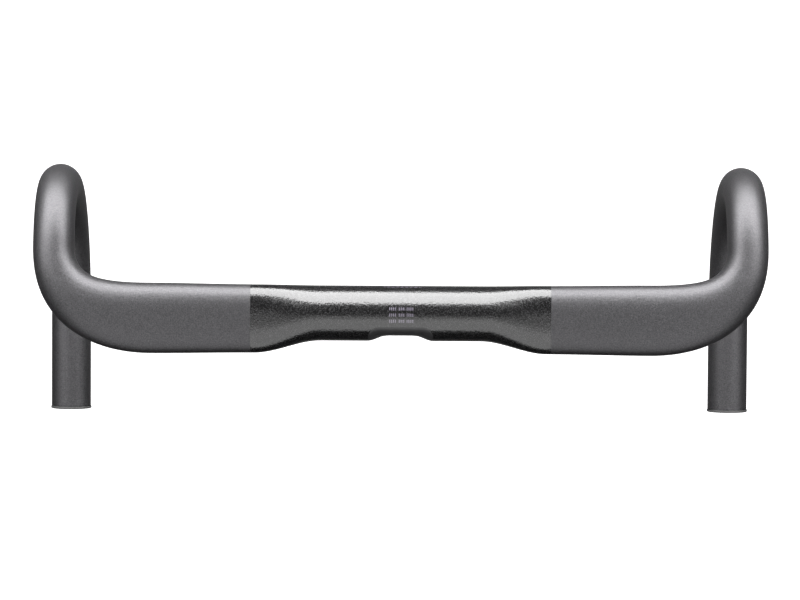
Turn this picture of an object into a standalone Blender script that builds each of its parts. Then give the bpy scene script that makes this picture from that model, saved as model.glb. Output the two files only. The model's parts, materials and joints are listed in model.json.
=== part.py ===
"""Composite drop handlebar with a wing-section top, compact hooks and expander end plugs.

Metres, +Z up. The origin is the middle of the stem clamp, +X is the rider's right, +Y is forward.
"""

from math import asin, cos, pi, radians, sin

import bmesh
import bpy
from mathutils import Matrix, Vector

MM = 0.001
GAP = 0.3 * MM  # clearance between neighbouring pieces
WALL = 2.2 * MM  # laminate thickness
SIDES = 24  # facets around the bar

# Round stem clamp and the flat wing beside it
CLAMP_RADIUS = 15.9 * MM
CLAMP_HALF_LENGTH = 46 * MM
WING_START = 84 * MM
WING_LEADING = 16.3 * MM  # leading edge ahead of the clamp axis
WING_TRAILING = 23.1 * MM  # trailing edge behind it
WING_SPREAD = 0.6 * MM  # further growth of each edge towards the bend
WING_HALF_HEIGHT = 11.5 * MM
WING_EXPONENT = 2.7  # squareness of the wing's superellipse, 2 is an ellipse
WING_TAPER = 0.2  # how much thinner the wing is at the back
JOINT_X = 86.2 * MM  # centre section meets the drop sections

# Bends, hooks and drops
TUBE_RADIUS = 11.9 * MM
HALF_WIDTH = 200 * MM  # clamp centre to hook centre
BEND_START = 144 * MM
BEND_END = (38 * MM, -3 * MM)  # y, z where the ramp points straight ahead
BEND_HANDLES = (37.5 * MM, 26.5 * MM)
RAMP_ANGLE = radians(8)
REACH = 74.8 * MM
REACH_Z = -50 * MM
DROP_START = (0, -125.2 * MM)  # y, z where the drop runs straight
DROP_ANGLE = radians(3)
DROP_LENGTH = 57.6 * MM
HOOK_HANDLES = (24 * MM, 26 * MM, 40 * MM, 40 * MM)

# Splice sleeves across the joints
SLEEVE_HALF_LENGTH = 15 * MM
SLEEVE_WALL = 1.5 * MM

# Hose ports: length along the bar, height across it, corner radius
CABLE_PORT = (37.5 * MM, 25 * MM, 6 * MM)
CABLE_PORT_ANGLE = radians(82)  # from straight up towards the rear
CABLE_MOUTH = (15 * MM, 6.4 * MM, 3.1 * MM)
MOUTH_SHIFT = 5.4 * MM  # the mouth lies this much lower than the port's middle
DISH_DEPTH = 3.1 * MM  # the lining dips this far from the barrel to its mouth
LEVER_PORT = (15 * MM, 8.5 * MM, 4.2 * MM)
LEVER_PORT_SHARE = 0.16  # of the way from the ramp to the reach
LINING_WALL = 1.3 * MM
LINING_LIP = 1.2 * MM  # thickness of a lining's flange
LINING_FLANGE = 2.5 * MM  # how far the flange overlaps the laminate

# Expander plugs, along the drop's axis from its cut end
CAP_RADIUS = 12.3 * MM
CAP_THICKNESS = 1.5 * MM
SPIGOT_RADIUS = 9.45 * MM
SPIGOT_LENGTH = 7.5 * MM
HEAD_RADIUS = 4.25 * MM
HEAD_HEIGHT = 4.2 * MM
SCREW_RADIUS = 2.5 * MM
SCREW_LENGTH = 28 * MM
SOCKET_RADIUS = 2.3 * MM
EXPANDER_LENGTH = 12 * MM
EXPANDER_BORE = 5.4 * MM
WEDGE_LENGTH = 10 * MM
WEDGE_RADIUS = 7.8 * MM
FLARE_LENGTH = 5.6 * MM


def smooth(share):
    share = min(max(share, 0), 1)
    return share * share * (3 - 2 * share)


def mix(start, end, share):
    return start + (end - start) * share


def bezier(points, share):
    """Point and unit tangent on a cubic Bezier curve."""
    a, b, c, d = points
    rest = 1 - share
    place = a * rest**3 + b * 3 * rest**2 * share + c * 3 * rest * share**2 + d * share**3
    slope = (b - a) * rest**2 + (c - b) * 2 * rest * share + (d - c) * share**2
    return place, slope.normalized()


def profile_point(y, z):
    return Vector((HALF_WIDTH, y, z))


def slope_down(angle):
    """Direction in the hook's plane, from straight ahead (0) over straight down to the rear."""
    return Vector((0, cos(angle), -sin(angle)))


class Station:
    """One cross-section of the right half of the bar."""

    def __init__(self, centre, ahead, across, shape):
        self.centre = centre
        self.across = across
        self.up = ahead.cross(across).normalized()
        self.ahead = ahead
        self.half_chord, self.half_height, self.exponent, self.taper = shape

    def ring(self):
        """Corners of the section, whose flats are at its true size."""
        flat = 1 / cos(pi / SIDES)
        for corner in range(SIDES):
            angle = (corner + 0.5) * 2 * pi / SIDES
            power = 2 / self.exponent
            along = abs(cos(angle)) ** power * (1 if cos(angle) > 0 else -1)
            high = abs(sin(angle)) ** power * (1 if sin(angle) > 0 else -1)
            height = self.half_height * high * (1 + self.taper * along)
            yield self.centre + (self.across * self.half_chord * along + self.up * height) * flat


def wing_station(x):
    """Section between the clamp and the bend."""
    share = smooth((x - CLAMP_HALF_LENGTH) / (WING_START - CLAMP_HALF_LENGTH))
    spread = WING_SPREAD * smooth((x - WING_START) / (BEND_START - WING_START))
    leading = mix(CLAMP_RADIUS, WING_LEADING, share) + spread
    trailing = mix(CLAMP_RADIUS, WING_TRAILING, share) + spread
    shape = (
        (leading + trailing) / 2,
        mix(CLAMP_RADIUS, WING_HALF_HEIGHT, share),
        mix(2, WING_EXPONENT, share),
        mix(0, WING_TAPER, share),
    )
    return Station(Vector((x, (leading - trailing) / 2, 0)), Vector((1, 0, 0)), Vector((0, 1, 0)), shape)


def bend_station(share):
    """Section on the way from the wing round to the ramp."""
    wing = wing_station(BEND_START)
    start = wing.centre
    end = profile_point(*BEND_END)
    points = (
        start,
        start + Vector((BEND_HANDLES[0], 0, 0)),
        end - slope_down(RAMP_ANGLE) * BEND_HANDLES[1],
        end,
    )
    centre, ahead = bezier(points, share)
    across = Vector((-ahead.y, ahead.x, 0)).normalized()
    blend = smooth(share)
    shape = (
        mix(wing.half_chord, TUBE_RADIUS, blend),
        mix(wing.half_height, TUBE_RADIUS, blend),
        mix(wing.exponent, 2, blend),
        mix(wing.taper, 0, blend),
    )
    return Station(centre, ahead, across, shape)


def tube_station(centre, ahead):
    return Station(centre, ahead, Vector((-1, 0, 0)), (TUBE_RADIUS, TUBE_RADIUS, 2, 0))


def upper_hook_station(share):
    start = profile_point(*BEND_END)
    end = profile_point(REACH, REACH_Z)
    points = (
        start,
        start + slope_down(RAMP_ANGLE) * HOOK_HANDLES[0],
        end - slope_down(pi / 2) * HOOK_HANDLES[1],
        end,
    )
    return tube_station(*bezier(points, share))


def lower_hook_station(share):
    start = profile_point(REACH, REACH_Z)
    end = profile_point(*DROP_START)
    points = (
        start,
        start + slope_down(pi / 2) * HOOK_HANDLES[2],
        end - slope_down(pi - DROP_ANGLE) * HOOK_HANDLES[3],
        end,
    )
    return tube_station(*bezier(points, share))


def drop_station(distance):
    """Section on the straight drop, a distance behind where it starts."""
    ahead = slope_down(pi - DROP_ANGLE)
    return tube_station(profile_point(*DROP_START) + ahead * distance, ahead)


def steps(start, end, count):
    return [mix(start, end, step / count) for step in range(count + 1)]


def wing_stations(start, end):
    """Stations on the centre half, close together where the section changes."""
    blend = steps(CLAMP_HALF_LENGTH, WING_START, 7)
    places = [start] + [x for x in blend if start < x < end] + [end]
    return [wing_station(x) for x in places]


def side_stations():
    stations = [wing_station(x) for x in steps(JOINT_X + GAP / 2, BEND_START, 4)]
    stations += [bend_station(share) for share in steps(0, 1, 13)[1:]]
    stations += [upper_hook_station(share) for share in steps(0, 1, 9)[1:]]
    stations += [lower_hook_station(share) for share in steps(0, 1, 11)[1:]]
    return stations + [drop_station(DROP_LENGTH)]


def surface(name, stations, offset=0, mirrored=False):
    """Open tube through the stations, its faces outwards, moved out by the offset."""
    bm = bmesh.new()
    rings = [[bm.verts.new(point) for point in station.ring()] for station in stations]
    for here, there in zip(rings, rings[1:]):
        for corner in range(SIDES):
            after = (corner + 1) % SIDES
            bm.faces.new((here[corner], here[after], there[after], there[corner]))
    bm.normal_update()
    moved = [v.co + v.normal * offset * v.calc_shell_factor() for v in bm.verts]
    for vert, place in zip(bm.verts, moved):
        vert.co = place
    if mirrored:
        bmesh.ops.scale(bm, vec=(-1, 1, 1), verts=bm.verts)
        bmesh.ops.reverse_faces(bm, faces=bm.faces)
    mesh = bpy.data.meshes.new(name)
    bm.to_mesh(mesh)
    bm.free()
    return mesh


def new_collection(name):
    collection = bpy.data.collections.new(name)
    bpy.context.scene.collection.children.link(collection)
    return collection


def add_object(name, data, collection, parent=None):
    thing = bpy.data.objects.new(name, data)
    thing.parent = parent
    collection.objects.link(thing)
    return thing


def add_part(name, mesh, finish, parent=None):
    colour, roughness, metallic = finish
    material = bpy.data.materials.new(name)
    material.use_nodes = True
    shader = material.node_tree.nodes["Principled BSDF"]
    shader.inputs["Base Color"].default_value = (*colour, 1)
    shader.inputs["Roughness"].default_value = roughness
    shader.inputs["Metallic"].default_value = metallic
    mesh.materials.append(material)
    mesh.shade_smooth()
    return add_object(name, mesh, parts, parent)


def add_cutter(name, mesh, parent=None):
    cutter = add_object(name, mesh, cutters, parent)
    cutter.hide_render = True
    cutter.display_type = "WIRE"
    return cutter


def thicken(thing, thickness):
    """Solidify inwards from the surface."""
    solidify = thing.modifiers.new("wall", "SOLIDIFY")
    solidify.thickness = thickness
    solidify.offset = -1
    solidify.use_even_offset = True


def combine(thing, operation, other):
    boolean = thing.modifiers.new(other.name, "BOOLEAN")
    boolean.operation = operation
    boolean.object = other
    boolean.solver = "EXACT"


def rounded_prism(name, port, growth, depth, frame):
    """Block with four rounded corners, along Z of its frame, larger than the port by the growth."""
    length, height, corner = port
    size = Vector((length + 2 * growth, height + 2 * growth, depth))
    bm = bmesh.new()
    bmesh.ops.create_cube(bm, size=1, matrix=Matrix.Diagonal((*size, 1)))
    upright = [e for e in bm.edges if abs(e.verts[0].co.z - e.verts[1].co.z) > depth / 2]
    bmesh.ops.bevel(bm, geom=upright, offset=corner + growth, segments=4, profile=0.5, affect="EDGES")
    mesh = bpy.data.meshes.new(name)
    bm.to_mesh(mesh)
    bm.free()
    cutter = add_cutter(name, mesh)
    cutter.matrix_world = frame
    return cutter


def frame_at(place, along, outward):
    """Axes with X along the bar and Z out through its wall."""
    side = outward.cross(along)
    axes = Matrix((along, side, outward)).transposed().to_4x4()
    return Matrix.Translation(place) @ axes


def band(name, stations, low, high, mirrored):
    """Closed shell between two offsets of the bar's surface."""
    piece = add_cutter(name, surface(name, stations, high, mirrored))
    thicken(piece, high - low)
    return piece


def line_port(name, stations, port, frame, depth, throat, flange, finish, mirrored=False):
    """Lining of a port: a throat through the wall with a flange that overlaps the laminate."""
    outer = rounded_prism(f"{name}_throat", port, -GAP, depth, frame)
    inner = rounded_prism(f"{name}_hole", port, -GAP - LINING_WALL, depth + 2 * MM, frame)
    edge = rounded_prism(f"{name}_edge", port, LINING_FLANGE, depth, frame)
    core = band(f"{name}_core", stations, *throat, mirrored)
    combine(core, "INTERSECT", outer)
    low, high = flange
    lining = add_part(name, surface(name, stations, high, mirrored), finish)
    thicken(lining, high - low)
    combine(lining, "INTERSECT", edge)
    combine(lining, "UNION", core)
    combine(lining, "DIFFERENCE", inner)


def outline(port, inset, shift=0):
    """Points round a rounded rectangle, anticlockwise, as places along and across the bar."""
    length, height, corner = port
    radius = corner - inset
    points = []
    for turn, (side, end) in enumerate(((1, 1), (-1, 1), (-1, -1), (1, -1))):
        centre = (side * (length / 2 - inset - radius), end * (height / 2 - inset - radius) - shift)
        for step in steps(0, pi / 2, 4):
            angle = turn * pi / 2 + step
            points.append((centre[0] + radius * cos(angle), centre[1] + radius * sin(angle)))
    return points


def make_insert(finish):
    """Lining of the cable port: a flange inside the barrel and a dish that dips to the mouth."""
    outward = Vector((0, -sin(CABLE_PORT_ANGLE), cos(CABLE_PORT_ANGLE)))
    upward = outward.cross(Vector((1, 0, 0)))
    inside = CLAMP_RADIUS - WALL - GAP
    face = CLAMP_RADIUS - 0.2 * MM

    def seen(points, radius):
        return [(a, asin(b / radius)) for a, b in points]

    rim = outline(CABLE_PORT, GAP)
    mouth = outline(CABLE_MOUTH, 0, MOUTH_SHIFT)
    edge = seen(rim, inside)
    length, height, corner = CABLE_PORT
    reach = asin((height / 2 - GAP) / inside) + LINING_FLANGE / inside
    spread = (length + 2 * LINING_FLANGE, 2 * inside * sin(reach), corner)
    flange = seen(outline(spread, 0), inside)
    dips = []
    for share in steps(0, 1, 4):
        points = [(mix(a, c, share), mix(b, d, share)) for (a, b), (c, d) in zip(rim, mouth)]
        radius = face - DISH_DEPTH * smooth(share)
        dips.append((seen(points, radius), radius))
    backs = [(points, radius - LINING_LIP) for points, radius in reversed(dips[1:])]
    loop = [(flange, inside), (edge, inside)] + dips + backs
    loop += [(edge, inside - LINING_LIP), (flange, inside - LINING_LIP)]
    bm = bmesh.new()
    rings = []
    for points, radius in loop:
        places = [Vector((a, 0, 0)) + (upward * sin(t) + outward * cos(t)) * radius for a, t in points]
        rings.append([bm.verts.new(place) for place in places])
    for here, there in zip(rings, rings[1:] + rings[:1]):
        for corner in range(len(here)):
            after = (corner + 1) % len(here)
            bm.faces.new((here[corner], here[after], there[after], there[corner]))
    bmesh.ops.recalc_face_normals(bm, faces=bm.faces)
    mesh = bpy.data.meshes.new("cable_port_insert")
    bm.to_mesh(mesh)
    bm.free()
    add_part("cable_port_insert", mesh, finish)


def make_centre(finish):
    """Centre section, mirrored about the middle, with the hose port in its back."""
    stations = wing_stations(0, JOINT_X - GAP / 2)
    centre = add_part("centre_section", surface("centre_section", stations), finish)
    mirror = centre.modifiers.new("both_sides", "MIRROR")
    mirror.merge_threshold = 0.05 * MM
    thicken(centre, WALL)
    outward = Vector((0, -sin(CABLE_PORT_ANGLE), cos(CABLE_PORT_ANGLE)))
    depth = CLAMP_RADIUS
    frame = frame_at(outward * (CLAMP_RADIUS - depth / 4), Vector((1, 0, 0)), outward)
    combine(centre, "DIFFERENCE", rounded_prism("cable_port", CABLE_PORT, 0, depth, frame))


def make_side(side, finish, sleeve_finish, grommet_finish):
    """Drop section with its splice sleeve and lever port."""
    mirrored = side == "left"
    name = f"{side}_drop_section"
    drop = add_part(name, surface(name, side_stations(), 0, mirrored), finish)
    thicken(drop, WALL)

    name = f"{side}_splice_sleeve"
    stations = wing_stations(JOINT_X - SLEEVE_HALF_LENGTH, JOINT_X + SLEEVE_HALF_LENGTH)
    sleeve = add_part(name, surface(name, stations, -WALL - GAP, mirrored), sleeve_finish)
    thicken(sleeve, SLEEVE_WALL)

    port = upper_hook_station(LEVER_PORT_SHARE)
    flip = Matrix.Scale(-1, 3, Vector((1, 0, 0))) if mirrored else Matrix.Identity(3)
    depth = TUBE_RADIUS
    place = flip @ (port.centre - port.up * TUBE_RADIUS)
    frame = frame_at(place, flip @ port.ahead, flip @ -port.up)
    combine(drop, "DIFFERENCE", rounded_prism(f"{side}_lever_port", LEVER_PORT, 0, depth, frame))
    stations = [bend_station(share) for share in (0.8, 0.9, 1)]
    stations += [upper_hook_station(share) for share in steps(0, 0.6, 6)[1:]]
    throat = (-WALL - 0.5 * MM, GAP + LINING_LIP / 2)
    flange = (GAP, GAP + LINING_LIP)
    name = f"{side}_lever_port_grommet"
    line_port(name, stations, LEVER_PORT, frame, depth, throat, flange, grommet_finish, mirrored)


def turned(name, profile, finish, axis, closed=False):
    """Piece turned about Z from points (radius, z) that run down its outer side."""
    mesh = bpy.data.meshes.new(name)
    edges = [(step, step + 1) for step in range(len(profile) - 1)]
    if closed:
        edges.append((len(profile) - 1, 0))
    mesh.from_pydata([(radius, 0, z) for radius, z in profile], edges, [])
    piece = add_part(name, mesh, finish, axis)
    screw = piece.modifiers.new("turn", "SCREW")
    screw.axis = "Z"
    screw.steps = SIDES
    screw.render_steps = SIDES
    screw.use_merge_vertices = True
    screw.merge_threshold = 0.01 * MM
    return piece


def make_plug(side, cap_finish, rubber_finish, metal_finish):
    """Expander plug: cap, rubber sleeve, wedge nut and screw on the drop's own axis, Z outwards."""
    end = drop_station(DROP_LENGTH)
    mirror = -1 if side == "left" else 1
    axis = add_object(f"{side}_plug_axis", None, cutters)
    place = Vector((mirror * end.centre.x, end.centre.y, end.centre.z))
    axis.matrix_world = frame_at(place, Vector((mirror, 0, 0)), end.ahead)

    face = GAP + CAP_THICKNESS
    pocket = face - HEAD_HEIGHT - 0.6 * MM
    bore = SCREW_RADIUS + GAP
    chamfer = 0.5 * MM
    cap = [
        (HEAD_RADIUS + GAP + chamfer, face),
        (CAP_RADIUS - chamfer, face),
        (CAP_RADIUS, face - chamfer),
        (CAP_RADIUS, GAP),
        (SPIGOT_RADIUS, GAP),
        (SPIGOT_RADIUS, chamfer - SPIGOT_LENGTH),
        (SPIGOT_RADIUS - chamfer, -SPIGOT_LENGTH),
        (bore, -SPIGOT_LENGTH),
        (bore, pocket),
        (HEAD_RADIUS + GAP, pocket),
        (HEAD_RADIUS + GAP, face - chamfer),
    ]
    turned(f"{side}_plug_cap", cap, cap_finish, axis, closed=True)

    top = -SPIGOT_LENGTH - GAP
    foot = top - EXPANDER_LENGTH
    mouth = WEDGE_RADIUS + 1.2 * GAP
    expander = [
        (SPIGOT_RADIUS, top),
        (SPIGOT_RADIUS, foot),
        (mouth, foot),
        (EXPANDER_BORE, foot + FLARE_LENGTH),
        (EXPANDER_BORE, top),
    ]
    turned(f"{side}_plug_sleeve", expander, rubber_finish, axis, closed=True)

    tip = foot + FLARE_LENGTH - 1.2 * GAP
    wedge = [
        (EXPANDER_BORE - GAP, tip),
        (WEDGE_RADIUS, foot),
        (WEDGE_RADIUS, tip - WEDGE_LENGTH + chamfer),
        (WEDGE_RADIUS - chamfer, tip - WEDGE_LENGTH),
        (bore, tip - WEDGE_LENGTH),
        (bore, tip),
    ]
    turned(f"{side}_plug_wedge_nut", wedge, metal_finish, axis, closed=True)

    seat = pocket + GAP
    head_top = seat + HEAD_HEIGHT - 0.2 * MM
    screw = [
        (0, head_top),
        (HEAD_RADIUS - chamfer, head_top),
        (HEAD_RADIUS, head_top - chamfer),
        (HEAD_RADIUS, seat),
        (SCREW_RADIUS, seat),
        (SCREW_RADIUS, seat - SCREW_LENGTH + chamfer),
        (SCREW_RADIUS - chamfer, seat - SCREW_LENGTH),
        (0, seat - SCREW_LENGTH),
    ]
    bolt = turned(f"{side}_plug_screw", screw, metal_finish, axis)
    bm = bmesh.new()
    radius = SOCKET_RADIUS
    bmesh.ops.create_cone(bm, cap_ends=True, segments=6, radius1=radius, radius2=radius, depth=HEAD_HEIGHT)
    mesh = bpy.data.meshes.new(f"{side}_plug_socket")
    bm.to_mesh(mesh)
    bm.free()
    socket = add_cutter(f"{side}_plug_socket", mesh, axis)
    socket.location.z = head_top
    combine(bolt, "DIFFERENCE", socket)


for leftover in list(bpy.data.objects):
    bpy.data.objects.remove(leftover)
parts = new_collection("drop_handlebar")
cutters = new_collection("cutters")

# Finishes: colour, roughness, metallic
GLOSS_BLACK = ((0.02, 0.02, 0.022), 0.12, 0.0)
MATT_CHARCOAL = ((0.075, 0.075, 0.08), 0.42, 0.2)
BARE_LAMINATE = ((0.03, 0.03, 0.03), 0.6, 0.0)
SMOOTH_GREY = ((0.07, 0.07, 0.075), 0.45, 0.0)
BLACK_RUBBER = ((0.02, 0.02, 0.02), 0.8, 0.0)
BLACK_CAP = ((0.05, 0.05, 0.052), 0.5, 0.0)
DARK_STEEL = ((0.2, 0.2, 0.2), 0.35, 1.0)

make_centre(GLOSS_BLACK)
make_insert(SMOOTH_GREY)
for hand in ("left", "right"):
    make_side(hand, MATT_CHARCOAL, BARE_LAMINATE, BLACK_RUBBER)
    make_plug(hand, BLACK_CAP, BLACK_RUBBER, DARK_STEEL)
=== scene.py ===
import json
from math import asin, cos, pi, radians, sin

import bmesh
import bpy
from mathutils import Matrix, Vector

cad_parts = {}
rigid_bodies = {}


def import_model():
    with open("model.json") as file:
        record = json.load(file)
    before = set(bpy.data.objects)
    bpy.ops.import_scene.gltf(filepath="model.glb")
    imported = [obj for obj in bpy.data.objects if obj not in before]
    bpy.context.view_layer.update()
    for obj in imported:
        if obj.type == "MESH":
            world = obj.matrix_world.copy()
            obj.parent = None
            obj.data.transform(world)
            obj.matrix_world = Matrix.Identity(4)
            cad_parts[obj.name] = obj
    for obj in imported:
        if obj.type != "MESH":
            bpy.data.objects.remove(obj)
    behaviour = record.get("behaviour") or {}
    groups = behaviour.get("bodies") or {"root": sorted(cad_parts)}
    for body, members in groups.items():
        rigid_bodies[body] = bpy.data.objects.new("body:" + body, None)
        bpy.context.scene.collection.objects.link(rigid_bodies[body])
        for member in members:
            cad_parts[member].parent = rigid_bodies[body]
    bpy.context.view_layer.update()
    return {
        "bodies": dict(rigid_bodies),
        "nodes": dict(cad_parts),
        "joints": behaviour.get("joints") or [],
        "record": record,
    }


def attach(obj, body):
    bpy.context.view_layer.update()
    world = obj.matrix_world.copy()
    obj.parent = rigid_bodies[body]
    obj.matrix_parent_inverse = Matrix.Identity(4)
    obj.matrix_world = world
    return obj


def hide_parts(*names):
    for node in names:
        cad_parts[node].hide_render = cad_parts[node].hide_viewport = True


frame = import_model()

MM = 0.001
SIDES = 96  # points around the bar
WING_STEPS = 14  # stations along each stretch of a drop section
BEND_STEPS = 40
UPPER_HOOK_STEPS = 26
LOWER_HOOK_STEPS = 36
DROP_STEPS = 8
BARREL_STEPS = 12
FLARE_STEPS = 26
ARC_STEPS = 16  # pieces in a rounded corner of a port, and in a straight side
EDGE_STEPS = 12
JOIN = 1e-6  # points closer than this are one

# The bar's own sizes, as in the CAD model
WALL = 2.2 * MM
CLAMP_RADIUS = 15.9 * MM
CLAMP_HALF_LENGTH = 46 * MM
WING_START = 84 * MM
WING_LEADING = 16.3 * MM
WING_TRAILING = 23.1 * MM
WING_SPREAD = 0.6 * MM
WING_HALF_HEIGHT = 11.5 * MM
WING_EXPONENT = 2.7
WING_TAPER = 0.2
JOINT_X = 86.2 * MM
TUBE_RADIUS = 11.9 * MM
HALF_WIDTH = 200 * MM
BEND_START = 144 * MM
BEND_END = (38 * MM, -3 * MM)
BEND_HANDLES = (37.5 * MM, 26.5 * MM)
RAMP_ANGLE = radians(8)
REACH = 74.8 * MM
REACH_Z = -50 * MM
DROP_START = (0, -125.2 * MM)
DROP_ANGLE = radians(3)
DROP_LENGTH = 57.6 * MM
HOOK_HANDLES = (24 * MM, 26 * MM, 40 * MM, 40 * MM)
GAP = 0.3 * MM
SEAM = 0.02 * MM  # half the hairline between the painted sections
SLEEVE_HALF_LENGTH = 15 * MM
SLEEVE_WALL = 1.5 * MM
CABLE_PORT = (37.5 * MM, 25 * MM, 6 * MM)
CABLE_PORT_ANGLE = radians(82)
CABLE_MOUTH = (15 * MM, 6.4 * MM, 3.1 * MM)
MOUTH_SHIFT = 5.4 * MM
DISH_DEPTH = 3.1 * MM
LINING_LIP = 1.2 * MM
LINING_FLANGE = 2.5 * MM
LEVER_PORT = (15 * MM, 8.5 * MM, 4.2 * MM)
LEVER_PORT_SHARE = 0.16


def smooth(share):
    share = min(max(share, 0), 1)
    return share * share * (3 - 2 * share)


def mix(start, end, share):
    return start + (end - start) * share


def steps(start, end, count):
    return [mix(start, end, step / count) for step in range(count + 1)]


# --- Shape of the bar -------------------------------------------------------------------------


def bezier(points, share):
    a, b, c, d = points
    rest = 1 - share
    place = a * rest**3 + b * 3 * rest**2 * share + c * 3 * rest * share**2 + d * share**3
    slope = (b - a) * rest**2 + (c - b) * 2 * rest * share + (d - c) * share**2
    return place, slope.normalized()


def profile_point(y, z):
    return Vector((HALF_WIDTH, y, z))


def slope_down(angle):
    return Vector((0, cos(angle), -sin(angle)))


class Station:
    """One cross-section of the right half of the bar, a superellipse."""

    def __init__(self, centre, ahead, across, shape):
        self.centre = centre
        self.across = across
        self.ahead = ahead
        self.up = ahead.cross(across).normalized()
        self.half_chord, self.half_height, self.exponent, self.taper = shape

    def ring(self):
        power = 2 / self.exponent
        for corner in range(SIDES):
            angle = (corner + 0.5) * 2 * pi / SIDES
            along = abs(cos(angle)) ** power * (1 if cos(angle) > 0 else -1)
            high = abs(sin(angle)) ** power * (1 if sin(angle) > 0 else -1)
            height = self.half_height * high * (1 + self.taper * along)
            yield self.centre + self.across * self.half_chord * along + self.up * height


def wing_station(x):
    share = smooth((x - CLAMP_HALF_LENGTH) / (WING_START - CLAMP_HALF_LENGTH))
    spread = WING_SPREAD * smooth((x - WING_START) / (BEND_START - WING_START))
    leading = mix(CLAMP_RADIUS, WING_LEADING, share) + spread
    trailing = mix(CLAMP_RADIUS, WING_TRAILING, share) + spread
    shape = (
        (leading + trailing) / 2,
        mix(CLAMP_RADIUS, WING_HALF_HEIGHT, share),
        mix(2, WING_EXPONENT, share),
        mix(0, WING_TAPER, share),
    )
    return Station(Vector((x, (leading - trailing) / 2, 0)), Vector((1, 0, 0)), Vector((0, 1, 0)), shape)


def bend_station(share):
    wing = wing_station(BEND_START)
    end = profile_point(*BEND_END)
    points = (
        wing.centre,
        wing.centre + Vector((BEND_HANDLES[0], 0, 0)),
        end - slope_down(RAMP_ANGLE) * BEND_HANDLES[1],
        end,
    )
    centre, ahead = bezier(points, share)
    across = Vector((-ahead.y, ahead.x, 0)).normalized()
    blend = smooth(share)
    shape = (
        mix(wing.half_chord, TUBE_RADIUS, blend),
        mix(wing.half_height, TUBE_RADIUS, blend),
        mix(wing.exponent, 2, blend),
        mix(wing.taper, 0, blend),
    )
    return Station(centre, ahead, across, shape)


def tube_station(centre, ahead):
    return Station(centre, ahead, Vector((-1, 0, 0)), (TUBE_RADIUS, TUBE_RADIUS, 2, 0))


def upper_hook_station(share):
    start = profile_point(*BEND_END)
    end = profile_point(REACH, REACH_Z)
    points = (
        start,
        start + slope_down(RAMP_ANGLE) * HOOK_HANDLES[0],
        end - slope_down(pi / 2) * HOOK_HANDLES[1],
        end,
    )
    return tube_station(*bezier(points, share))


def lower_hook_station(share):
    start = profile_point(REACH, REACH_Z)
    end = profile_point(*DROP_START)
    points = (
        start,
        start + slope_down(pi / 2) * HOOK_HANDLES[2],
        end - slope_down(pi - DROP_ANGLE) * HOOK_HANDLES[3],
        end,
    )
    return tube_station(*bezier(points, share))


def drop_station(distance):
    ahead = slope_down(pi - DROP_ANGLE)
    return tube_station(profile_point(*DROP_START) + ahead * distance, ahead)


def side_stations():
    stations = [wing_station(x) for x in steps(JOINT_X, BEND_START, WING_STEPS)]
    stations += [bend_station(share) for share in steps(0, 1, BEND_STEPS)[1:]]
    stations += [upper_hook_station(share) for share in steps(0, 1, UPPER_HOOK_STEPS)[1:]]
    stations += [lower_hook_station(share) for share in steps(0, 1, LOWER_HOOK_STEPS)[1:]]
    return stations + [drop_station(distance) for distance in steps(0, DROP_LENGTH, DROP_STEPS)[1:]]


# --- Mesh helpers -----------------------------------------------------------------------------


def add_mesh(name, rings, around=True, along=False, mirrored=False):
    """Sheet of quads through rings of points, closed around each ring and, if asked, along them."""
    bm = bmesh.new()
    rows = [[bm.verts.new(point) for point in ring] for ring in rings]
    pairs = list(zip(rows, rows[1:]))
    if along:
        pairs.append((rows[-1], rows[0]))
    for here, there in pairs:
        count = len(here)
        for corner in range(count if around else count - 1):
            after = (corner + 1) % count
            bm.faces.new((here[corner], here[after], there[after], there[corner]))
    if mirrored:
        bmesh.ops.scale(bm, vec=(-1, 1, 1), verts=bm.verts)
        bmesh.ops.reverse_faces(bm, faces=bm.faces)
    return finish_mesh(name, bm)


def finish_mesh(name, bm):
    mesh = bpy.data.meshes.new(name)
    bm.to_mesh(mesh)
    bm.free()
    mesh.shade_smooth()
    thing = bpy.data.objects.new(name, mesh)
    bpy.context.scene.collection.objects.link(thing)
    return thing


def thicken(thing, thickness):
    solidify = thing.modifiers.new("wall", "SOLIDIFY")
    solidify.thickness = thickness
    solidify.offset = -1
    solidify.use_even_offset = True


def cut(thing, cutter):
    boolean = thing.modifiers.new("port", "BOOLEAN")
    boolean.operation = "DIFFERENCE"
    boolean.object = cutter
    boolean.solver = "EXACT"


def settle(thing, *leftovers, crease=35):
    """Applies the modifiers, drops the cutters and keeps creases crisp."""
    depsgraph = bpy.context.evaluated_depsgraph_get()
    mesh = bpy.data.meshes.new_from_object(thing.evaluated_get(depsgraph))
    thing.modifiers.clear()
    thing.data = mesh
    for other in leftovers:
        bpy.data.objects.remove(other)
    mesh.shade_smooth()
    mesh.set_sharp_from_angle(angle=radians(crease))
    return thing


def outline(port, inset, shift=0):
    """Points (a, b) round a rounded rectangle, anticlockwise."""
    length, height, corner = port
    radius = max(corner - inset, 0.3 * MM)
    arcs = []
    for turn, (side, end) in enumerate(((1, 1), (-1, 1), (-1, -1), (1, -1))):
        centre_a = side * (length / 2 - inset - radius)
        centre_b = end * (height / 2 - inset - radius) - shift
        angles = [turn * pi / 2 + step for step in steps(0, pi / 2, ARC_STEPS)]
        arcs.append([(centre_a + radius * cos(angle), centre_b + radius * sin(angle)) for angle in angles])
    points = []
    for arc, following in zip(arcs, arcs[1:] + arcs[:1]):
        (a, b), (next_a, next_b) = arc[-1], following[0]
        between = steps(0, 1, EDGE_STEPS)[1:-1]
        points += arc + [(mix(a, next_a, share), mix(b, next_b, share)) for share in between]
    return points


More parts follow.
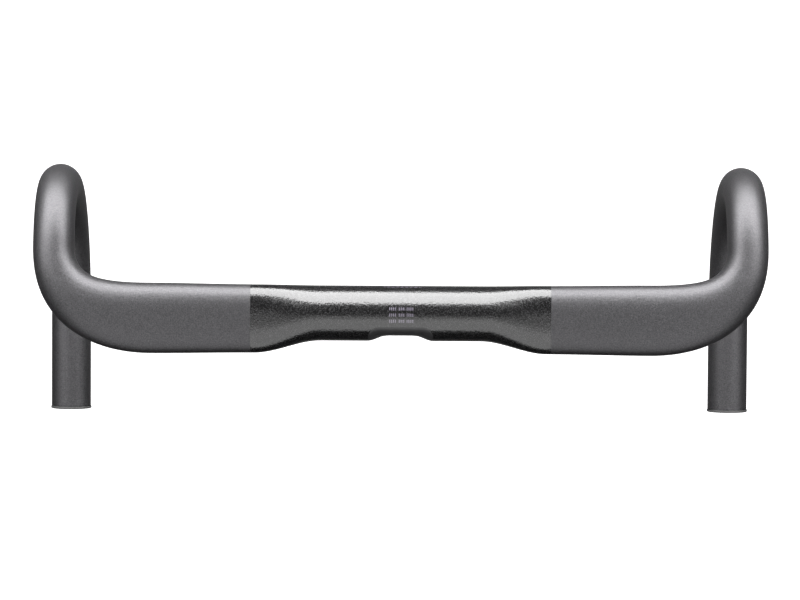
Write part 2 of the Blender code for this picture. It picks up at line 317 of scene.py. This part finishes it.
def clamp_place(a, angle, radius):
    """Point at a distance from the clamp's axis, at an angle from the cable port's middle."""
    outward = Vector((0, -sin(CABLE_PORT_ANGLE), cos(CABLE_PORT_ANGLE)))
    upward = outward.cross(Vector((1, 0, 0)))
    return Vector((a, 0, 0)) + (upward * sin(angle) + outward * cos(angle)) * radius


def ramp_place(a, angle, radius):
    """Point at a distance from the ramp's centreline, at an angle from the lever port's middle."""
    middle = upper_hook_station(LEVER_PORT_SHARE)
    speed = (upper_hook_station(LEVER_PORT_SHARE + 0.01).centre - middle.centre).length / 0.01
    here = upper_hook_station(LEVER_PORT_SHARE + a / speed)
    return here.centre + (here.across * sin(angle) - here.up * cos(angle)) * radius


def seen(points, radius):
    """Turns places across a port into angles at a distance from the axis."""
    return [(a, asin(b / radius)) for a, b in points]


def port_body(name, place, loop, mirrored=False):
    """Ring swept round a port: the loop lists its sections as (points, radius)."""
    rings = [[place(a, angle, radius) for a, angle in points] for points, radius in loop]
    return add_mesh(name, rings, along=True, mirrored=mirrored)


def port_cutter(place, port, low, high, mirrored=False):
    """Solid that fills a port from low to high, with sides square to the port's middle."""
    points = outline(port, 0)
    rings = []
    for height in (low, high):
        rings.append([place(a, 0, height) + place(a, pi / 2, b) - place(a, 0, 0) for a, b in points])
    bm = bmesh.new()
    rows = [[bm.verts.new(point) for point in ring] for ring in rings]
    count = len(points)
    for corner in range(count):
        after = (corner + 1) % count
        bm.faces.new((rows[0][corner], rows[0][after], rows[1][after], rows[1][corner]))
    bm.faces.new(rows[1])
    bm.faces.new(reversed(rows[0]))
    if mirrored:
        bmesh.ops.scale(bm, vec=(-1, 1, 1), verts=bm.verts)
    bmesh.ops.recalc_face_normals(bm, faces=bm.faces)
    cutter = finish_mesh("cutter", bm)
    cutter.hide_render = True
    return cutter


def fillet(points, size, arc=5):
    """Rounds the corners of a closed profile of (radius, z) points; a point may carry its own size."""
    out = []
    count = len(points)
    for index, point in enumerate(points):
        here = Vector(point[:2])
        before = Vector(points[index - 1][:2]) - here
        after = Vector(points[(index + 1) % count][:2]) - here
        own = point[2] if len(point) > 2 else size
        reach = min(own, before.length * 0.45, after.length * 0.45)
        if here.x < JOIN or reach < JOIN:
            out.append(here)
            continue
        start, end = here + before.normalized() * reach, here + after.normalized() * reach
        for share in steps(0, 1, arc):
            out.append(start.lerp(here, share).lerp(here.lerp(end, share), share))
    return out


def plug_frame(side):
    """Frame at a drop's cut end with Z outwards along the drop."""
    end = drop_station(DROP_LENGTH)
    mirror = -1 if side == "left" else 1
    place = Vector((mirror * end.centre.x, end.centre.y, end.centre.z))
    outward = end.ahead
    along = Vector((mirror, 0, 0))
    matrix = Matrix((along, outward.cross(along), outward)).transposed().to_4x4()
    return Matrix.Translation(place) @ matrix


def turned(name, profile, frame):
    """Closed profile of (radius, z) points turned about the frame's Z axis."""
    rings = []
    for step in range(SIDES):
        angle = step * 2 * pi / SIDES
        rings.append([Vector((radius * cos(angle), radius * sin(angle), z)) for radius, z in profile])
    thing = add_mesh(name, rings, along=True)
    bm = bmesh.new()
    bm.from_mesh(thing.data)
    bmesh.ops.remove_doubles(bm, verts=bm.verts, dist=JOIN)
    bmesh.ops.transform(bm, matrix=frame, verts=bm.verts)
    bmesh.ops.recalc_face_normals(bm, faces=bm.faces)
    bm.to_mesh(thing.data)
    bm.free()
    thing.data.shade_smooth()
    thing.data.set_sharp_from_angle(angle=radians(50))
    return thing


def place_piece(thing, body, slot, material, *nodes):
    """Rides a piece on its body, gives it its finish and hides the CAD nodes it stands for."""
    thing.data.materials.clear()
    thing.data.materials.append(material)
    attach(thing, body)
    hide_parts(*nodes)


# --- Materials --------------------------------------------------------------------------------


class Shader:
    """A Principled material and short ways to add nodes to it."""

    def __init__(self, name, **constants):
        self.material = bpy.data.materials.new(name)
        self.material.use_nodes = True
        self.nodes = self.material.node_tree.nodes
        self.links = self.material.node_tree.links
        self.bsdf = self.nodes["Principled BSDF"]
        for socket, value in constants.items():
            self.bsdf.inputs[socket.replace("_", " ")].default_value = value
        self.place = self.add("ShaderNodeTexCoord").outputs["Object"]

    def feed(self, socket, value):
        if isinstance(value, bpy.types.NodeSocket):
            self.links.new(value, socket)
        else:
            socket.default_value = value

    def add(self, kind, settings=None, **values):
        node = self.nodes.new(kind)
        for setting, value in (settings or {}).items():
            setattr(node, setting, value)
        for socket, value in values.items():
            self.feed(node.inputs[socket.replace("_", " ")], value)
        return node

    def math(self, operation, *values):
        node = self.add("ShaderNodeMath", {"operation": operation})
        for socket, value in zip(node.inputs, values):
            self.feed(socket, value)
        return node.outputs[0]

    def noise(self, size, detail=2.0, roughness=0.5, place=None):
        node = self.add("ShaderNodeTexNoise", Vector=place or self.place, Scale=1 / size, Detail=detail)
        node.inputs["Roughness"].default_value = roughness
        return node.outputs["Fac"]

    def cells(self, size):
        """A random grey for each cell of about that size."""
        node = self.add("ShaderNodeTexVoronoi", Vector=self.place, Scale=1 / size)
        return self.add("ShaderNodeSeparateColor", Color=node.outputs["Color"]).outputs[0]

    def ramp(self, value, low, high, start=0.0, end=1.0):
        node = self.add("ShaderNodeMapRange", Value=value, From_Min=low, From_Max=high)
        node.inputs["To Min"].default_value = start
        node.inputs["To Max"].default_value = end
        return node.outputs[0]

    def blend(self, share, first, second):
        node = self.add("ShaderNodeMix", {"data_type": "RGBA"})
        self.feed(node.inputs[0], share)
        self.feed(node.inputs[6], first)
        self.feed(node.inputs[7], second)
        return node.outputs[2]

    def bump(self, height, depth, strength=1.0, under=None):
        node = self.add("ShaderNodeBump", Height=height, Distance=depth, Strength=strength)
        if under:
            self.links.new(under, node.inputs["Normal"])
        return node.outputs[0]

    def use(self, **links):
        for socket, value in links.items():
            self.feed(self.bsdf.inputs[socket.replace("_", " ")], value)


def grey(level, tint=0.0):
    """A grey with a slight lilac tint."""
    return (level * (1 + tint * 0.4), level, level * (1 + tint), 1)


def matt_paint():
    """Satin charcoal metallic: fine aluminium flake under a matt clear coat."""
    shader = Shader("matt_paint", Metallic=0.85, Specular_IOR_Level=0.5)
    flake = shader.cells(0.32 * MM)
    mottle = shader.noise(0.8 * MM, 4.0, 0.65)
    drift = shader.noise(35 * MM, 2.0)
    body = shader.blend(shader.ramp(mottle, 0.3, 0.7), grey(0.042, 0.05), grey(0.079, 0.05))
    body = shader.blend(shader.ramp(flake, 0.72, 1.0, 0.0, 0.22), body, grey(0.17, 0.03))
    body = shader.blend(shader.ramp(drift, 0.35, 0.65, 0.0, 0.12), body, grey(0.05, 0.05))
    sparkle = shader.ramp(flake, 0, 1, -0.03, 0.03)
    rough = shader.math("ADD", shader.ramp(mottle, 0.3, 0.7, 0.4, 0.49), sparkle)
    height = shader.math("ADD", shader.noise(0.7 * MM, 3.0, 0.6), shader.math("MULTIPLY", flake, 0.5))
    shader.use(Base_Color=body, Roughness=rough, Normal=shader.bump(height, 0.045 * MM, 1.0))
    return shader.material


def gloss_paint():
    """Black base with sparse metallic flake and a glossy clear coat; alignment ticks at its middle."""
    clear_coat = {"Coat_Weight": 1.0, "Coat_Roughness": 0.06, "Coat_IOR": 1.6}
    shader = Shader("gloss_paint", Metallic=0.25, Specular_IOR_Level=0.15, **clear_coat)
    flake = shader.cells(0.38 * MM)
    mottle = shader.noise(0.9 * MM, 4.0, 0.7)
    body = shader.blend(shader.ramp(mottle, 0.3, 0.7), grey(0.001, 0.05), grey(0.006, 0.05))
    body = shader.blend(shader.ramp(flake, 0.6, 1.0, 0.0, 0.6), body, grey(0.05, 0.03))
    body = shader.blend(ticks(shader), body, grey(0.13, 0.25))
    rough = shader.ramp(mottle, 0.3, 0.7, 0.28, 0.4)
    height = shader.math("ADD", shader.noise(0.9 * MM, 3.0, 0.6), shader.math("MULTIPLY", flake, 0.6))
    coat = shader.bump(shader.noise(1.1 * MM, 2.0, 0.6), 0.13 * MM, 1.0)
    normal = shader.bump(height, 0.02 * MM, 1.0)
    shader.use(Base_Color=body, Roughness=rough, Normal=normal, Coat_Normal=coat)
    return shader.material


def bars(shader, value, pitch, share, low, high):
    """1 where a coordinate lies on evenly spaced bars between low and high."""
    phase = shader.math("FRACT", shader.math("DIVIDE", value, pitch))
    on = shader.math("LESS_THAN", phase, share)
    above, below = shader.math("GREATER_THAN", value, low), shader.math("LESS_THAN", value, high)
    return shader.math("MULTIPLY", on, shader.math("MULTIPLY", above, below))


def ticks(shader):
    """Rows of plain ticks for lining up the stem, where the real bar is printed."""
    x, y, z = shader.add("ShaderNodeSeparateXYZ", Vector=shader.place).outputs
    fine = bars(shader, x, 1.1 * MM, 0.55, -6.6 * MM, 7.9 * MM)
    groups = bars(shader, shader.math("ADD", x, 6.6 * MM), 5.0 * MM, 0.8, 0.0, 14.5 * MM)
    rows = bars(shader, shader.math("ADD", y, 5.3 * MM), 3.5 * MM, 0.5, 0.0, 8.8 * MM)
    block = shader.math("MULTIPLY", shader.math("MULTIPLY", fine, groups), rows)
    edge_fine = bars(shader, x, 2.6 * MM, 0.6, -9.5 * MM, 12 * MM)
    edge_row = bars(shader, y, 100 * MM, 1.0, 14.95 * MM, 15.3 * MM)
    edge = shader.math("MULTIPLY", edge_fine, edge_row)
    above = shader.math("GREATER_THAN", z, 0.0)
    return shader.math("MULTIPLY", shader.math("MAXIMUM", block, edge), shader.math("MULTIPLY", above, 0.7))


def moulded(name, level, roughness, grain, depth, tint=0.0):
    """Moulded plastic or rubber with a fine spark-eroded grain."""
    shader = Shader(name, Specular_IOR_Level=0.45)
    fine = shader.noise(grain, 4.0, 0.6)
    broad = shader.noise(grain * 22, 2.0)
    body = shader.blend(shader.ramp(fine, 0.3, 0.7), grey(level * 0.75, tint), grey(level * 1.25, tint))
    body = shader.blend(shader.ramp(broad, 0.4, 0.7, 0.0, 0.3), body, grey(level * 1.5, tint))
    rough = shader.ramp(fine, 0.3, 0.7, roughness - 0.06, roughness + 0.08)
    shader.use(Base_Color=body, Roughness=rough, Normal=shader.bump(fine, depth, 1.0))
    return shader.material


def metal(name, level, roughness):
    """Dark oxide-coated steel with fine turning marks and slight staining."""
    shader = Shader(name, Metallic=1.0)
    stain = shader.noise(3 * MM, 4.0, 0.6)
    fine = shader.noise(0.12 * MM, 3.0, 0.7)
    body = shader.blend(shader.ramp(stain, 0.35, 0.65), grey(level * 0.7, 0.1), grey(level * 1.2, -0.05))
    body = shader.blend(shader.ramp(fine, 0.55, 0.8, 0.0, 0.5), body, grey(level * 2.2))
    rough = shader.ramp(stain, 0.3, 0.7, roughness - 0.08, roughness + 0.1)
    shader.use(Base_Color=body, Roughness=rough, Normal=shader.bump(fine, 0.004 * MM, 1.0))
    return shader.material


def woven_laminate():
    """Bare carbon laminate: a plain weave of flat tows under thin resin."""
    shader = Shader("bare_laminate", Coat_Weight=0.4, Coat_Roughness=0.2)
    x, y, z = shader.add("ShaderNodeSeparateXYZ", Vector=shader.place).outputs
    tow = 1.5 * MM
    warp = shader.math("FRACT", shader.math("DIVIDE", x, 2 * tow))
    around = shader.math("MULTIPLY", shader.math("ARCTAN2", y, z), TUBE_RADIUS)
    weft = shader.math("FRACT", shader.math("DIVIDE", around, 2 * tow))
    warp_up, weft_up = shader.math("LESS_THAN", warp, 0.5), shader.math("LESS_THAN", weft, 0.5)
    over = shader.math("COMPARE", warp_up, weft_up, 0.1)
    fibre = shader.noise(0.2 * MM, 3.0, 0.7)
    body = shader.blend(over, grey(0.016), grey(0.045))
    body = shader.blend(shader.ramp(fibre, 0.4, 0.7, 0.0, 0.4), body, grey(0.08))
    rough = shader.ramp(fibre, 0.3, 0.7, 0.3, 0.45)
    shader.use(Base_Color=body, Roughness=rough, Normal=shader.bump(fibre, 0.02 * MM))
    return shader.material


GLOSS = gloss_paint()
MATT = matt_paint()
LINING = moulded("port_lining", 0.022, 0.36, 0.25 * MM, 0.01 * MM, 0.04)
LAMINATE = woven_laminate()
GROMMET = moulded("grommet_rubber", 0.022, 0.7, 0.3 * MM, 0.015 * MM)
CAP = moulded("plug_cap", 0.045, 0.45, 0.28 * MM, 0.005 * MM)
EXPANDER = moulded("expander_rubber", 0.02, 0.75, 0.35 * MM, 0.01 * MM)
NUT = metal("nut_metal", 0.3, 0.32)
SCREW = metal("screw_steel", 0.1, 0.3)


# --- Bar --------------------------------------------------------------------------------------

def make_centre():
    """Centre section: the 31.8 mm barrel that flares into the two wings, with the cable port."""
    reach = JOINT_X - SEAM
    flare = steps(CLAMP_HALF_LENGTH, reach, FLARE_STEPS)
    half = steps(0, CLAMP_HALF_LENGTH, BARREL_STEPS)[:-1] + flare
    rings = []
    for x in [-x for x in reversed(half[1:])] + half:
        station = wing_station(abs(x))
        station.centre.x = x
        rings.append(list(station.ring()))
    centre = add_mesh("centre_shell", rings)
    thicken(centre, WALL)
    cutter = port_cutter(clamp_place, CABLE_PORT, 0, CLAMP_RADIUS + 2 * MM)
    cut(centre, cutter)
    settle(centre, cutter)
    place_piece(centre, "bar", "gloss_paint", GLOSS, "centre_section")


def make_lining():
    """Dished lining of the cable port, with a rolled rim and a rolled mouth."""
    inside = CLAMP_RADIUS - WALL - GAP
    face = CLAMP_RADIUS - 0.05 * MM
    length, height, corner = CABLE_PORT
    reach = asin((height / 2 - GAP) / inside) + LINING_FLANGE / inside
    flange = seen(outline((length + 2 * LINING_FLANGE, 2 * inside * sin(reach), corner), 0), inside)
    rim = outline(CABLE_PORT, SEAM)
    edge = seen(rim, inside)
    mouth = outline(CABLE_MOUTH, 0, MOUTH_SHIFT)
    loop = [(flange, inside), (edge, inside), (seen(rim, face - 0.6 * MM), face - 0.6 * MM)]
    dips = []
    for share in [0.0, 0.015, 0.04] + steps(0.08, 1, 18):
        drop = DISH_DEPTH * smooth(share) + 0.1 * MM * (1 - min(share / 0.04, 1)) ** 2
        points = [(mix(a, c, share), mix(b, d, share)) for (a, b), (c, d) in zip(rim, mouth)]
        dips.append((seen(points, face - drop), face - drop))
    backs = [(points, radius - LINING_LIP) for points, radius in reversed(dips[4::3])]
    loop += dips + [(dips[-1][0], dips[-1][1] - LINING_LIP)] + backs
    loop += [(edge, inside - LINING_LIP), (flange, inside - LINING_LIP)]
    lining = port_body("cable_port_lining", clamp_place, loop)
    lining.data.set_sharp_from_angle(angle=radians(50))
    place_piece(lining, "bar", "port_lining", LINING, "cable_port_insert")


def make_drop(side):
    """Drop section: wing, bend, hook and drop, with the lever port under the ramp."""
    mirrored = side == "left"
    stations = side_stations()
    stations[0] = wing_station(JOINT_X + SEAM)
    drop = add_mesh(f"{side}_drop_shell", [list(station.ring()) for station in stations], mirrored=mirrored)
    thicken(drop, WALL)
    cutter = port_cutter(ramp_place, LEVER_PORT, 6 * MM, TUBE_RADIUS + 2 * MM, mirrored)
    cut(drop, cutter)
    settle(drop, cutter)
    place_piece(drop, "bar", "matt_paint", MATT, f"{side}_drop_section")


def make_sleeve(side):
    """Splice sleeve inside the joint between two sections."""
    rings = []
    for x in steps(JOINT_X - SLEEVE_HALF_LENGTH, JOINT_X + SLEEVE_HALF_LENGTH, 20):
        station = wing_station(x)
        station.half_chord -= WALL + GAP
        station.half_height -= WALL + GAP
        rings.append(list(station.ring()))
    sleeve = add_mesh(f"{side}_splice_tube", rings, mirrored=side == "left")
    thicken(sleeve, SLEEVE_WALL)
    settle(sleeve)
    place_piece(sleeve, "bar", "bare_laminate", LAMINATE, f"{side}_splice_sleeve")


def make_grommet(side):
    """Rubber grommet in the lever port: inner flange, throat and a rolled lip."""
    low = TUBE_RADIUS - WALL - GAP - LINING_LIP
    high = TUBE_RADIUS - WALL - GAP
    lip = TUBE_RADIUS + 0.45 * MM
    sections = [
        (-LINING_FLANGE, high),
        (GAP, high),
        (GAP, lip - 0.5 * MM),
        (GAP + 0.1 * MM, lip - 0.2 * MM),
        (GAP + 0.35 * MM, lip),
        (GAP + 0.75 * MM, lip - 0.05 * MM),
        (GAP + 1.1 * MM, lip - 0.35 * MM),
        (GAP + 1.3 * MM, lip - 0.8 * MM),
        (GAP + 1.3 * MM, low + 0.4 * MM),
        (GAP + 1.0 * MM, low),
        (-LINING_FLANGE, low),
    ]
    loop = [(seen(outline(LEVER_PORT, inset), radius), radius) for inset, radius in sections]
    grommet = port_body(f"{side}_lever_grommet", ramp_place, loop, side == "left")
    grommet.data.set_sharp_from_angle(angle=radians(50))
    place_piece(grommet, "bar", "grommet_rubber", GROMMET, f"{side}_lever_port_grommet")


make_centre()
make_lining()
for hand in ("left", "right"):
    make_drop(hand)
    make_sleeve(hand)
    make_grommet(hand)


# --- Expander plugs ---------------------------------------------------------------------------

CAP_RADIUS = 12.3 * MM
CAP_THICKNESS = 1.5 * MM
SPIGOT_RADIUS = 9.45 * MM
SPIGOT_LENGTH = 7.5 * MM
HEAD_RADIUS = 4.25 * MM
HEAD_HEIGHT = 4.2 * MM
SCREW_RADIUS = 2.5 * MM
SCREW_LENGTH = 28 * MM
SOCKET_RADIUS = 2.3 * MM
SOCKET_DEPTH = 2.4 * MM
KNURL_RIDGES = 36
KNURL_DEPTH = 0.12 * MM
EXPANDER_LENGTH = 12 * MM
EXPANDER_BORE = 5.4 * MM
WEDGE_LENGTH = 10 * MM
WEDGE_RADIUS = 7.8 * MM
FLARE_LENGTH = 5.6 * MM
THREAD_PITCH = 0.8 * MM
THREAD_DEPTH = 0.45 * MM
GRIP_RIBS = 6

BORE = SCREW_RADIUS + GAP
FACE = GAP + CAP_THICKNESS
POCKET = FACE - HEAD_HEIGHT - 0.6 * MM
TOP = -SPIGOT_LENGTH - GAP
FOOT = TOP - EXPANDER_LENGTH
TIP = FOOT + FLARE_LENGTH - 1.2 * GAP


def make_cap(side):
    """End cap: a domed flange with a turned groove, a pocket for the screw head and a spigot."""
    pocket_wall = HEAD_RADIUS + GAP
    profile = [
        (pocket_wall, FACE - 0.15 * MM, 0.4 * MM),
        (pocket_wall + 1.1 * MM, FACE),
        (pocket_wall + 1.3 * MM, FACE - 0.35 * MM, 0.1 * MM),
        (pocket_wall + 1.9 * MM, FACE - 0.35 * MM, 0.1 * MM),
        (pocket_wall + 2.1 * MM, FACE),
        (CAP_RADIUS, FACE - 0.1 * MM, 0.9 * MM),
        (CAP_RADIUS, GAP, 0.2 * MM),
        (SPIGOT_RADIUS, GAP, 0.3 * MM),
        (SPIGOT_RADIUS, -SPIGOT_LENGTH, 0.5 * MM),
        (BORE, -SPIGOT_LENGTH),
        (BORE, POCKET),
        (pocket_wall, POCKET),
    ]
    cap = turned(f"{side}_end_cap", fillet(profile, 0.2 * MM), plug_frame(side))
    place_piece(cap, f"{side}_plug", "plug_cap", CAP, f"{side}_plug_cap")


def make_expander(side):
    """Rubber sleeve with grip ribs round its outside and a flared mouth for the wedge nut."""
    rib = (EXPANDER_LENGTH - 0.6 * MM) / GRIP_RIBS
    profile = [(SPIGOT_RADIUS, TOP)]
    for number in range(1, GRIP_RIBS):
        middle = TOP - 0.3 * MM - number * rib
        profile.append((SPIGOT_RADIUS, middle + 0.35 * MM, 0.15 * MM))
        profile.append((SPIGOT_RADIUS - 0.55 * MM, middle, 0.15 * MM))
        profile.append((SPIGOT_RADIUS, middle - 0.35 * MM, 0.15 * MM))
    profile += [
        (SPIGOT_RADIUS, FOOT),
        (WEDGE_RADIUS + 1.2 * GAP, FOOT),
        (EXPANDER_BORE, FOOT + FLARE_LENGTH),
        (EXPANDER_BORE, TOP),
    ]
    sleeve = turned(f"{side}_expander", fillet(profile, 0.3 * MM), plug_frame(side))
    place_piece(sleeve, f"{side}_plug", "expander_rubber", EXPANDER, f"{side}_plug_sleeve")


def make_wedge(side):
    """Cone-ended nut that is drawn into the sleeve, with a grooved barrel."""
    foot = TIP - WEDGE_LENGTH
    profile = [
        (EXPANDER_BORE - GAP, TIP),
        (WEDGE_RADIUS, FOOT),
        (WEDGE_RADIUS, foot + 3.2 * MM, 0.15 * MM),
        (WEDGE_RADIUS - 0.4 * MM, foot + 2.8 * MM, 0.15 * MM),
        (WEDGE_RADIUS - 0.4 * MM, foot + 2.2 * MM, 0.15 * MM),
        (WEDGE_RADIUS, foot + 1.8 * MM, 0.15 * MM),
        (WEDGE_RADIUS, foot, 0.5 * MM),
        (BORE, foot, 0.4 * MM),
        (BORE, TIP, 0.4 * MM),
    ]
    nut = turned(f"{side}_wedge_cone", fillet(profile, 0.25 * MM), plug_frame(side))
    place_piece(nut, f"{side}_wedge", "nut_metal", NUT, f"{side}_plug_wedge_nut")


def make_screw(side):
    """Socket head screw: knurled head, hexagon socket and a rolled M5 thread."""
    seat = POCKET + GAP
    top = seat + HEAD_HEIGHT - 0.2 * MM
    foot = seat - SCREW_LENGTH
    around = KNURL_RIDGES * 4
    rings = [(0.0, top), (SOCKET_RADIUS * 1.3, top)]
    rings += [(HEAD_RADIUS - 0.5 * MM, top), (HEAD_RADIUS - 0.2 * MM, top - 0.1 * MM)]
    rings += [(HEAD_RADIUS - 0.05 * MM, top - 0.3 * MM), (HEAD_RADIUS, top - 0.55 * MM)]
    rings += [(HEAD_RADIUS, z) for z in steps(top - 0.7 * MM, seat + 0.15 * MM, 8)]
    rings += [(HEAD_RADIUS - 0.15 * MM, seat), (SCREW_RADIUS + 0.15 * MM, seat)]
    rings += [(SCREW_RADIUS, seat - 0.15 * MM)]
    shank = seat - 3 * MM
    rings += [(SCREW_RADIUS, z) for z in steps(seat - 0.5 * MM, shank, 4)]
    turns = (shank - foot) / THREAD_PITCH
    rings += [(SCREW_RADIUS, z) for z in steps(shank, foot + 0.4 * MM, int(turns * 8))[1:]]
    rings += [(SCREW_RADIUS - 0.55 * MM, foot), (0.0, foot)]

    rows = []
    for radius, z in rings:
        row = []
        for step in range(around):
            angle = step * 2 * pi / around
            wide = radius
            if seat + 0.15 * MM <= z <= top - 0.7 * MM:
                wide -= KNURL_DEPTH * (0.5 - 0.5 * cos(KNURL_RIDGES * angle))
            if foot < z < shank and radius == SCREW_RADIUS:
                fade = min((shank - z) / THREAD_PITCH, 1)
                phase = (z / THREAD_PITCH - angle / (2 * pi)) % 1
                wide -= THREAD_DEPTH * fade * (1 - abs(2 * phase - 1))
            row.append(Vector((wide * cos(angle), wide * sin(angle), z)))
        rows.append(row)
    screw = add_mesh(f"{side}_cap_screw", rows)
    bm = bmesh.new()
    bm.from_mesh(screw.data)
    bmesh.ops.remove_doubles(bm, verts=bm.verts, dist=JOIN)
    bmesh.ops.dissolve_degenerate(bm, edges=bm.edges, dist=JOIN)
    bmesh.ops.recalc_face_normals(bm, faces=bm.faces)
    bm.to_mesh(screw.data)
    bm.free()
    bm = bmesh.new()
    hexagon = {"cap_ends": True, "segments": 6, "radius1": SOCKET_RADIUS, "radius2": SOCKET_RADIUS}
    bmesh.ops.create_cone(bm, depth=2 * SOCKET_DEPTH, **hexagon)
    bmesh.ops.translate(bm, vec=(0, 0, top), verts=bm.verts)
    socket = finish_mesh("cutter", bm)
    cut(screw, socket)
    settle(screw, socket)
    screw.data.transform(plug_frame(side))
    place_piece(screw, f"{side}_screw", "screw_steel", SCREW, f"{side}_plug_screw")


for hand in ("left", "right"):
    make_cap(hand)
    make_expander(hand)
    make_wedge(hand)
    make_screw(hand)


# --- Studio -----------------------------------------------------------------------------------


def softbox(name, place, target, size, radiance):
    """Soft rectangular light of a given brightness, unseen by the camera."""
    data = bpy.data.lights.new(name, "AREA")
    data.shape = "RECTANGLE"
    data.size, data.size_y = size
    data.energy = radiance * pi * size[0] * size[1]
    lamp = bpy.data.objects.new(name, data)
    bpy.context.scene.collection.objects.link(lamp)
    lamp.location = place
    lamp.rotation_euler = (Vector(target) - Vector(place)).to_track_quat("-Z", "Y").to_euler()
    lamp.visible_camera = False
    return lamp


def make_floor():
    """Plain pale floor far below, which only the camera sees, so the bar's edges stay dark."""
    rows = [[Vector((x, y, FLOOR_HEIGHT)) for x in steps(-8, 8, 8)] for y in steps(8, -8, 8)]
    floor = add_mesh("floor", rows, around=False)
    material = bpy.data.materials.new("pale_floor")
    material.use_nodes = True
    shader = material.node_tree.nodes["Principled BSDF"]
    shader.inputs["Base Color"].default_value = (0.9, 0.9, 0.9, 1)
    shader.inputs["Roughness"].default_value = 0.9
    shader.inputs["Emission Color"].default_value = (1, 1, 1, 1)
    shader.inputs["Emission Strength"].default_value = 1.0
    floor.data.materials.append(material)
    floor.visible_glossy = False
    floor.visible_diffuse = False
    floor.visible_shadow = False


def make_world():
    """World that is white to the camera and nearly dark to the bar."""
    world = bpy.data.worlds.new("studio")
    world.use_nodes = True
    nodes, links = world.node_tree.nodes, world.node_tree.links
    back = nodes["Background"]
    back.inputs["Color"].default_value = (1, 1, 1, 1)
    path = nodes.new("ShaderNodeLightPath")
    share = nodes.new("ShaderNodeMapRange")
    share.inputs["To Min"].default_value = AMBIENT
    share.inputs["To Max"].default_value = 1.0
    links.new(path.outputs["Is Camera Ray"], share.inputs["Value"])
    links.new(share.outputs[0], back.inputs["Strength"])
    bpy.context.scene.world = world


def make_camera():
    """Camera above the bar's middle, with the front of the bar up in the picture."""
    data = bpy.data.cameras.new("camera")
    data.lens = LENS
    data.sensor_width = 36
    viewpoint = bpy.data.objects.new("camera", data)
    bpy.context.scene.collection.objects.link(viewpoint)
    viewpoint.location = CAMERA_PLACE
    back = (viewpoint.location - CAMERA_AIM).normalized()
    rightward = Vector((0, 1, 0)).cross(back).normalized()
    basis = Matrix((rightward, back.cross(rightward), back)).transposed()
    viewpoint.rotation_euler = (basis @ Matrix.Rotation(CAMERA_ROLL, 3, "Z")).to_euler()
    bpy.context.scene.camera = viewpoint


AMBIENT = 0.012
FLOOR_HEIGHT = -3.0
LENS = 164.3
CAMERA_PLACE = (-0.0084, 0.0079, 2.10)
CAMERA_AIM = Vector((-0.0004, 0.0077, 0))
CAMERA_ROLL = radians(0.34)
LEFT, RIGHT = -1, 1

make_floor()
make_world()
# Tall panel that gives the long highlight along the front
softbox("front_panel", (0, 1.2, 0.62), (0, 0, 0.62), (2.4, 1.62), 10.5)
# Dimmer panels that give the mid grey over the rear half
softbox("rear_panel", (0, -1.15, 0.96), (0, 0, 0), (2.6, 1.5), 1.9)
softbox("rear_fringe", (0, -0.44, 1.43), (0, 0, 0), (2.6, 0.37), 0.9)
# Faint light in the dark band along the top, and under the bar
softbox("ceiling", (0, 0.3, 1.5), (0, 0.3, 0), (2.4, 1.13), 0.03)
softbox("underside_fill", (0, 0, -1.2), (0, 0, 0), (2.0, 1.8), 0.15)
# Panels for the outer sides, the inner sides and the tops of the hooks
for end in (LEFT, RIGHT):
    hook = Vector((end * 0.2, 0.05, -0.03))
    other_hook = Vector((-hook.x, hook.y, hook.z))
    softbox("side_panel", (end * 1.3, 0.4, 0.75), hook, (0.9, 0.9), 5.0)
    softbox("inner_panel", (end * 1.1, 0.95, 0.62), other_hook, (0.7, 0.8), 7.5)
    softbox("hook_panel", (end * 0.6, 0.42, 0.8), hook, (0.6, 0.36), 5.6)

make_camera()
bpy.context.scene.view_settings.view_transform = "Standard"
